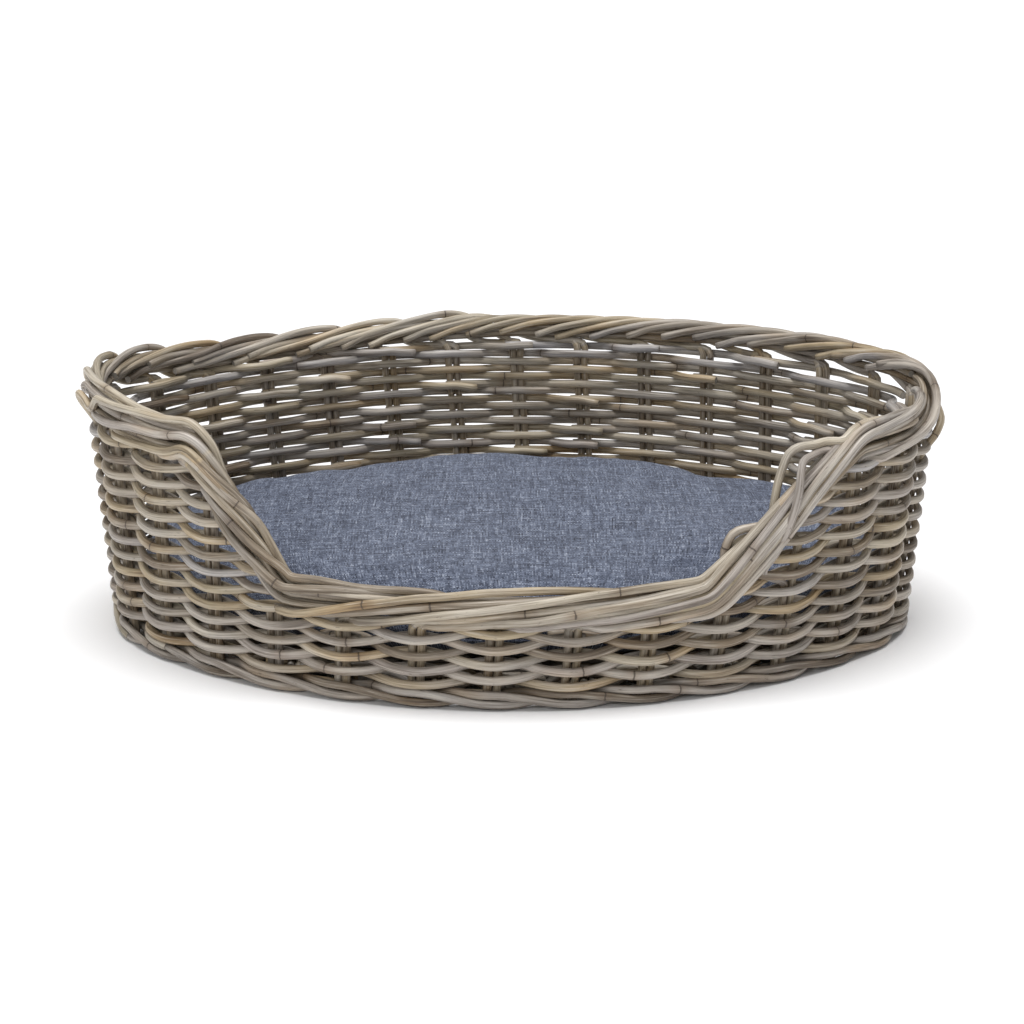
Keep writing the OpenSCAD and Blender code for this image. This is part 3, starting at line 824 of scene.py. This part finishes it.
def bent_upright(i, which, rng):
    """An upright that is bent over at the rim and wound once round the border, ending cut off inside."""
    s = stake_s(i, float(border_height(stake_s(i, BORDER_LOW_Z))))
    start = rope.run_of(s)
    c0, _, u0, thick0, _ = rope.at(start)
    joined = rope.turned(start)
    # the second cane of a pair follows halfway between the first and the next pair
    behind = (rope.turned(start + SPACING) - joined) / 2 if which else 0.0
    cut = FULL_TURN + behind + np.radians(rng.uniform(-12, 8)) + looped(s) * np.radians(-60 if which else 30)
    if i in LONG:
        cut = rope.turned(rope.run_of(ENTRY_S + LONG[i] - which * 50 * MM)) - joined
    elif rope.run_where(joined + cut) - start < SHORTEST and not looped(s):
        cut += TAU
    if which and thick0 > 0.9 and i not in LONG:
        cut -= np.radians(40)
    first = rng.uniform(15, 19) * MM * (1 - 0.3 * looped(s))
    last = rope.run_where(joined + cut) - start
    run = np.linspace(first, last, int((last - first) / (7 * MM)))
    age = (rope.turned(start + run) - joined - behind) / FULL_TURN
    ring, w = wound(i, which, start + run, age, rng)
    top = float(c0[2] - (11.0 + 3.5 * thick0) * MM / max(0.6, float(u0[2])) - 2 * MM)
    straight, out = upright(i, which, top)
    return straight, ring, np.vstack([out, w])


# canes that stand up beside the border before they bend over and join it further on. For each pair and cane:
# the angle round the border where it joins, then distances from the middle of the entrance, heights, and
# distances inside the wall's line, in millimetres
LOOPS = {
    (15, 0): (15, (-400, 150, 0), (-398, 168, -3), (-396, 180, -9), (-392, 190, -14), (-384, 197, -15),
              (-372, 196, -12), (-358, 191, -10)),
    (25, 0): (110, (178, 104, 9), (180, 116, 9), (184, 124, 8), (190, 127, 6), (199, 128, 4), (210, 130, 3)),
    (25, 1): (110, (183, 97, 9), (185, 109, 9), (189, 117, 8), (195, 120, 6), (204, 121, 4), (214, 124, 3)),
    (26, 0): (110, (224, 126, 11), (223, 150, 11), (226, 168, 10), (230, 181, 8), (236, 185, 6),
              (250, 185, 5), (264, 186, 4)),
    (26, 1): (60, (207, 92, -2), (212, 108, -8), (216, 122, -12), (221, 140, -14), (226, 158, -12),
              (230, 170, -7), (236, 176, -2), (246, 178, 1), (260, 180, 2)),
    (29, 0): (15, (410, 136, 0), (415, 150, -7), (421, 161, -14), (428, 170, -17), (433, 178, -14),
              (440, 185, -10), (450, 189, -8)),
}


def looped_upright(i, which, rng):
    """An upright that stands up beside the border, bends over sharply and joins it further along."""
    angle = np.radians(LOOPS[i, which][0])
    along, height, inside = np.array(LOOPS[i, which][1:]).T * MM
    straight, out = upright(i, which, height[0] - 14 * MM)
    over, over_out = oval.place(ENTRY_S + along, FLARE * height - inside, height)
    joins = rope.run_of(ENTRY_S + along[-1] + 16 * MM)
    last = rope.run_where(rope.turned(joins) + CUT_AT - angle)
    run = np.linspace(joins, last, 14)
    age = (angle - JOINS + rope.turned(run) - rope.turned(joins)) / FULL_TURN
    ring, w = wound(i, which, run, age, rng)
    return straight, np.vstack([over, ring]), np.vstack([out, over_out, w])


def uprights():
    """All pairs of uprights, in as many bundles as the CAD's border has strands."""
    bundles = 6
    rng = np.random.default_rng(4242)
    for g in range(bundles):
        bundle = CaneBundle(f"bent_uprights_{g + 1}")
        for i in range(g, STAKES, bundles):
            tone = rng.uniform()
            for which in (0, 1):
                make = looped_upright if (i, which) in LOOPS else bent_upright
                straight, bent, outs = make(i, which, rng)
                path = spline(np.vstack([straight, bent]), CANE_STEP)
                # the standing part is painted darker and browner than the bent part, as painted shade inside
                # the wall
                standing_in_painted_shade = path[:, 2] < straight[-1, 2]
                light = (tone + rng.uniform(-0.15, 0.15)) % 1.0
                shown = np.where(standing_in_painted_shade, 0.06 + 0.15 * light, light)
                bundle.add(path, ref=spread(outs, len(path)), tone=shown, uneven=0.06)
        # the first bundle also stands for the CAD's straight uprights
        stakes = [] if g else ["stakes_tall", "stakes_ramp", "stakes_front"]
        bundle.build(CANE_BORDER, [f"border_strand_{g + 1}"] + stakes)


uprights()


# hidden canes: where along the wall each starts and ends, and how far it is outwards and upwards of the
# border's middle line, in millimetres; the last three lie only round the entrance
CORE_ENTRY = ENTRY_S - 0.41
CORE = (
    (0.0, 0.87, 1.0, -5.5), (0.85, 1.726, 1.0, -5.5),
    (0.03, 0.91, -2.0, 1.0), (0.9, 1.75, -2.0, 1.0),
    (CORE_ENTRY, CORE_ENTRY + 0.8, -3.5, -6.5),
    (CORE_ENTRY + 0.04, CORE_ENTRY + 0.78, 2.5, 4.0),
    (CORE_ENTRY + 0.02, CORE_ENTRY + 0.81, -3.5, 5.5),
)


def border_core():
    """Canes in the middle of the border, which fill it behind the visible ones."""
    bundle = CaneBundle("border_core", sides=8)
    for k, (first, last, side, up) in enumerate(CORE):
        s = np.arange(first, last, 7 * MM)
        run = rope.run_of(s) + np.where(s >= oval.perimeter, rope.length, 0)
        c, w, u, _, _ = rope.at(run)
        aside = (side + 0.8 * wander(s / 0.05, 3300 + k)) * MM
        above = (up + 0.8 * wander(s / 0.06, 3400 + k)) * MM
        path = spline(c + w * aside[:, None] + u * above[:, None], 6 * MM)
        bundle.add(path, radius=CANE_R * 0.95, tone=0.12)
    bundle.build(CANE_BORDER)


border_core()

# ---- floor


def base_hoop():
    bundle = CaneBundle("floor_hoop", sides=14)
    for first, last in ((0.02, 0.5), (0.5, 1.02)):
        s = np.linspace(first, last, 150) * oval.perimeter
        points, out = oval.place(s, HOOP_OFF, HOOP_R)
        bundle.add(points, radius=HOOP_R * 0.9, ref=out, uneven=0.0)
    bundle.build(CANE_BASE, ["base_hoop"])


def base_sticks():
    bundle = CaneBundle("floor_sticks")
    for k in range(-STICK_PAIRS, STICK_PAIRS + 1):
        for side in (-1, 1):
            x = k * STICK_GAP + side * PAIR_HALF
            w = oval.half_width(x, HOOP_OFF + 1 * MM)
            y = np.linspace(-w, w, int(w / (5 * MM)))
            wave = 0.3 * MM * wander(y / 0.05, 40 + 2 * k + side)
            points = np.stack([x + wave, MID_Y + y, np.full_like(y, STICK_Z)], -1)
            bundle.add(points)
    bundle.build(CANE_BASE, ["base_sticks"])


def base_canes(parity, node, name):
    """Lengthwise canes of the floor: each passes over and under the pairs of cross sticks in turn."""
    bundle = CaneBundle(name, sides=8)
    edge_z = 2 * HOOP_R + CANE_R
    count = int((oval.half_width(0, -12 * MM) - CANE_R) / ROW_PITCH)
    for j in range(-count, count + 1):
        if abs(j) % 2 != parity:
            continue
        y = j * ROW_PITCH
        l = oval.half_length(abs(y) + CANE_R, -12 * MM)
        x = np.linspace(-l, l, max(8, int(2 * l / (6 * MM))))
        wave = np.cos(np.pi * x / STICK_GAP + np.pi * parity)
        z = STICK_Z + (2 * CANE_R + 0.1 * MM) * flattened(wave, 1.6)
        rim = smooth((np.abs(x) - (l - 26 * MM)) / (16 * MM))
        z = z * (1 - rim) + np.maximum(z, edge_z) * rim
        points = np.stack([x, np.full_like(x, MID_Y + y) + 0.2 * MM * wander(x / 0.05, 700 + j), z], -1)
        bundle.add(points, radius=CANE_R * 0.98, uneven=0.03)
    bundle.build(CANE_BASE, [node])


base_hoop()
base_sticks()
base_canes(0, "base_canes_upper", "floor_canes_even")
base_canes(1, "base_canes_lower", "floor_canes_odd")

# ---- cushion

PAD_LOW, PAD_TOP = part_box("cushion_cover_bottom")[0].z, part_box("cushion_cover_top")[1].z
PAD_WIDE = (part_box("cushion_cover_top")[1].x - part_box("cushion_cover_top")[0].x) / 2
PAD_OFF = PAD_WIDE - OVAL_A
SEAM_Z = middle_z("zip_tape")
SEAM_IN = 1.6 * MM
VOXEL = 6 * MM
PUFF_FRAMES = 20
# how far the cover may swell anywhere
PUFF = 7 * MM


def pad_height(k, top):
    """Height above the seam of the pad's top, or depth of its underside, at a share k of its outline."""
    if top:
        return (PAD_TOP - SEAM_Z) * (0.87 * np.sqrt(1 - k**13) + 0.13 * (1 - k**2))
    return -(SEAM_Z - PAD_LOW) * np.sqrt(1 - k**6)


def pad_surface():
    """Closed starting form of the cushion, a little smaller than its finished size."""
    n = 150
    s = np.linspace(0, oval.perimeter, n, endpoint=False)
    edge, _ = oval.place(s, PAD_OFF - 4 * MM, SEAM_Z)
    centre = np.array([0, MID_Y, SEAM_Z])
    shares = [1, 0.99, 0.97, 0.94, 0.88, 0.8, 0.68, 0.5, 0.3, 0.12]
    rings, faces = [], []
    order = [(k, False) for k in shares[::-1]] + [(k, True) for k in shares[1:]]
    for k, top in order:
        ring = centre + (edge - centre) * k
        shrink = 0.9 if top else 1.0
        ring[:, 2] = SEAM_Z + pad_height(k, top) * shrink
        rings.append(ring)
    for a in range(len(rings) - 1):
        for i in range(n):
            j = (i + 1) % n
            faces.append((a * n + i, a * n + j, (a + 1) * n + j, (a + 1) * n + i))
    faces.append(tuple(range(n))[::-1])
    last = (len(rings) - 1) * n
    faces.append(tuple(range(last, last + n)))
    mesh = bpy.data.meshes.new("cushion_cover")
    mesh.from_pydata(np.vstack(rings).tolist(), [], faces)
    mesh.update()
    return mesh


def read_points(mesh):
    co = np.empty(len(mesh.vertices) * 3)
    mesh.vertices.foreach_get("co", co)
    return co.reshape(-1, 3)


def write_points(mesh, points):
    mesh.vertices.foreach_set("co", points.ravel())
    mesh.update()


def apply_modifiers(obj):
    deps = bpy.context.evaluated_depsgraph_get()
    deps.update()
    made = bpy.data.meshes.new_from_object(obj.evaluated_get(deps))
    obj.modifiers.clear()
    old = obj.data
    obj.data = made
    made.name = old.name
    bpy.data.meshes.remove(old)


def puff(obj):
    """Inflates the pad as cloth, and keeps every point near where it started."""
    remesh = obj.modifiers.new("even", "REMESH")
    remesh.mode = "VOXEL"
    remesh.voxel_size = VOXEL
    apply_modifiers(obj)
    start = read_points(obj.data)
    cloth = obj.modifiers.new("cloth", "CLOTH").settings
    cloth.quality = 5
    cloth.use_pressure = True
    cloth.uniform_pressure_force = 4
    cloth.tension_stiffness = cloth.compression_stiffness = 12
    cloth.bending_stiffness = 0.6
    cloth.effector_weights.gravity = 0
    scene = bpy.context.scene
    for f in range(1, PUFF_FRAMES + 1):
        scene.frame_set(f)
    apply_modifiers(obj)
    scene.frame_set(1)
    end = read_points(obj.data)
    move = end - start
    size = np.linalg.norm(move, axis=1, keepdims=True)
    write_points(obj.data, start + move * np.minimum(1, PUFF / np.maximum(size, 1e-9)))


def around_pad(points):
    """Share of the way from the pad's middle to its edge, and the place along the edge, for each point."""
    x, y = points[:, 0], points[:, 1] - MID_Y
    angle = np.arctan2(y / OVAL_B, x / OVAL_A)
    s = np.linspace(0, oval.perimeter, 2000, endpoint=False)
    edge, _ = oval.place(s, PAD_OFF, 0)
    edge_angle = np.arctan2((edge[:, 1] - MID_Y) / OVAL_B, edge[:, 0] / OVAL_A)
    order = np.argsort(edge_angle)
    reach = np.hypot(edge[:, 0], edge[:, 1] - MID_Y)[order]
    limit = np.interp(angle, edge_angle[order], reach, period=TAU)
    place = np.interp(angle, edge_angle[order], s[order], period=TAU)
    return np.hypot(x, y) / limit, place


def soften(points):
    """Hand-made unevenness: soft dents, gathers beside the seam and the seam's own groove."""
    share, place = around_pad(points)
    top = smooth((points[:, 2] - SEAM_Z) / (8 * MM))
    dents = (
        wander(points[:, 0] / 0.085 + 40, 61) * wander(points[:, 1] / 0.075 + 60, 62)
        + 0.6 * wander(points[:, 0] / 0.05 + points[:, 1] / 0.07 + 50, 63)
    )
    points[:, 2] += top * 3.3 * MM * dents * smooth((1.02 - share) / 0.12)
    edge = bell(share - 0.9, 0.09)
    points[:, 2] += top * edge * 5.0 * MM * (wander(place / 0.115, 64) + 0.35)
    gathers = bell(points[:, 2] - SEAM_Z, 11 * MM) * smooth((share - 0.8) / 0.15)
    ripple = wander(place / 0.017, 65, 400) + 0.6 * wander(place / 0.009, 66, 800)
    groove = bell(points[:, 2] - SEAM_Z, 3.2 * MM) * smooth((share - 0.8) / 0.15)
    inward = 1.1 * MM * gathers * ripple - 3.2 * MM * groove
    direction = np.stack([points[:, 0], points[:, 1] - MID_Y], -1)
    direction /= np.maximum(np.linalg.norm(direction, axis=1, keepdims=True), 1e-9)
    points[:, :2] += direction * inward[:, None]
    points[:, 2] = np.clip(points[:, 2], PAD_LOW, PAD_TOP + 3 * MM)
    return points


def filled_out(points):
    """Moves the cover's sides in or out, so that they meet the seam where the welt is sewn in."""
    share, place = around_pad(points)
    near = (np.abs(points[:, 2] - SEAM_Z) < 9 * MM) & (share > 0.8)
    bins = 40
    number = np.minimum((place / oval.perimeter * bins).astype(int), bins - 1)
    edge = np.array([share[near & (number == b)].max() for b in range(bins)])
    middles = (np.arange(bins) + 0.5) / bins * oval.perimeter
    gain = 0.998 / np.interp(place, middles, edge, period=oval.perimeter)
    scale = 1 + (gain - 1) * smooth((share - 0.55) / 0.3)
    scale = np.minimum(scale, 1.003 / np.maximum(share, 1e-9))
    middle = np.array([0, MID_Y])
    points[:, :2] = middle + (points[:, :2] - middle) * scale[:, None]
    return points


def dress(node, material):
    mesh = bpy.data.objects[node].data
    mesh.materials.clear()
    mesh.materials.append(material)


def cushion_cover(material):
    pad = place_piece(pad_surface(), "cushion",
                      ["cushion_cover_top", "cushion_cover_bottom", "cushion_filling"])
    puff(pad)
    subdivide = pad.modifiers.new("fine", "SUBSURF")
    subdivide.levels = subdivide.render_levels = 1
    apply_modifiers(pad)
    write_points(pad.data, filled_out(soften(read_points(pad.data))))
    dress(pad.name, material)
    pad.data.polygons.foreach_set("use_smooth", np.ones(len(pad.data.polygons), bool))
    return pad


def cushion_welt(material):
    """Narrow welt sewn into the seam all round."""
    bundle = CaneBundle("cushion_welt", sides=8)
    for first, last in ((0.3, 0.8), (0.8, 1.3)):
        s = np.linspace(first, last, 260) * oval.perimeter
        z = SEAM_Z + 0.5 * MM * wander(s / 0.06, 71)
        points, out = oval.place(s, PAD_OFF - SEAM_IN - 1.1 * MM, z)
        bundle.add(points, radius=1.5 * MM, ref=out, uneven=0.0)
    bundle.build(material, body="cushion", end_material=material)


melange = melange_fabric()
cushion_cover(melange)
cushion_welt(melange)


nickel = dull_metal()
dress("zip_tape", plain_cloth("zip_tape_cloth", (0.075, 0.09, 0.12), 0.5 * MM))
dress("zip_slider", nickel)
dress("zip_pull", nickel)


def zip_coil():
    """The zip's nylon coil: one long spring of fine turns along the tape."""
    low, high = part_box("zip_coil")
    radius = (high.z - low.z) / 2
    arc_r = oval.radii[1] + PAD_OFF + 2.6 * MM
    half = np.arcsin((high.x - low.x) / 2 / arc_r)
    turns = int(2 * half * arc_r / (1.5 * MM))
    a = np.linspace(-half, half, turns * 9)
    phase = np.linspace(0, TAU * turns, turns * 9)
    wire = 0.42 * MM
    r = arc_r + (radius - wire) * np.cos(phase)
    z = SEAM_Z + (radius - wire) * np.sin(phase)
    centre_y = MID_Y - oval.side_c
    points = np.stack([-r * np.sin(a), centre_y + r * np.cos(a), z], -1)
    bundle = CaneBundle("zip_coil_turns", sides=5)
    bundle.add(points, radius=wire, ref=(0.01, 0.02, 1), uneven=0.0)
    nylon = plain_cloth("zip_nylon", (0.05, 0.06, 0.08), 0.3 * MM)
    bundle.build(nylon, ["zip_coil"], "cushion", nylon)


zip_coil()

# ---- floor, light and camera

FLOOR_HALF = 60.0
FLOOR_COLOUR = (0.90, 0.90, 0.908, 1)
WORLD_LIGHT = 0.33
# a wide soft sun almost overhead, and a long strip in front on the left
SUN_FROM, SUN_POWER, SUN_ANGLE = (-0.03, -0.02, 1.25), 3.0, np.radians(44)
STRIP_FROM, STRIP_POWER, STRIP_SIZE = (-0.9, -1.7, 0.95), 7.5, (1.4, 0.25)

# the camera looks at a point inside the basket, from a turn to the left, a height and a distance from it
TURN, HEIGHT, DISTANCE = np.radians(-0.5), np.radians(15.4), 1.912
PIVOT, AIM = Vector((0, 0, 0.1)), Vector((0.0005, 0, 0.085))
SENSOR, LENS = 36, 36 * 2297 / 1024


def studio():
    mesh = bpy.data.meshes.new("studio_floor")
    corners = [(x * FLOOR_HALF, y * FLOOR_HALF, 0) for x, y in ((-1, -1), (1, -1), (1, 1), (-1, 1))]
    mesh.from_pydata(corners, [], [(0, 1, 2, 3)])
    floor = add_object("studio_floor", mesh)
    paper = Nodes("studio_paper")
    paper.surface(FLOOR_COLOUR, 0.9)
    paper.shader.inputs["Specular IOR Level"].default_value = 0.05
    mesh.materials.append(paper.material)

    # soft even light from all round, seen as plain white behind the floor's edge
    world = bpy.data.worlds.new("studio_world")
    world.use_nodes = True
    tree = world.node_tree
    background = tree.nodes["Background"]
    background.inputs[0].default_value = (1, 1, 1, 1)
    seen = tree.nodes.new("ShaderNodeLightPath")
    level = tree.nodes.new("ShaderNodeMapRange")
    level.inputs["To Min"].default_value = WORLD_LIGHT
    level.inputs["To Max"].default_value = 1.0
    tree.links.new(seen.outputs["Is Camera Ray"], level.inputs["Value"])
    tree.links.new(level.outputs[0], background.inputs[1])
    bpy.context.scene.world = world

    def lamp(name, kind, place, energy):
        data = bpy.data.lights.new(name, kind)
        data.energy = energy
        obj = add_object(name, data)
        obj.location = place
        obj.rotation_euler = Vector(place).to_track_quat("Z", "Y").to_euler()
        return data

    lamp("key_sky", "SUN", SUN_FROM, SUN_POWER).angle = SUN_ANGLE
    strip = lamp("front_strip", "AREA", STRIP_FROM, STRIP_POWER)
    strip.shape = "RECTANGLE"
    strip.size, strip.size_y = STRIP_SIZE
    bpy.context.scene.view_settings.view_transform = "Standard"
    bpy.context.scene.view_settings.look = "None"


def camera():
    level = np.cos(HEIGHT)
    away = Vector((np.sin(TURN) * level, -np.cos(TURN) * level, np.sin(HEIGHT)))
    data = bpy.data.cameras.new("camera")
    data.sensor_width = SENSOR
    data.lens = LENS
    data.clip_end = 200
    eye = add_object("camera", data)
    eye.location = PIVOT + away * DISTANCE
    eye.rotation_euler = (AIM - eye.location).to_track_quat("-Z", "Y").to_euler()
    bpy.context.scene.camera = eye


studio()
camera()
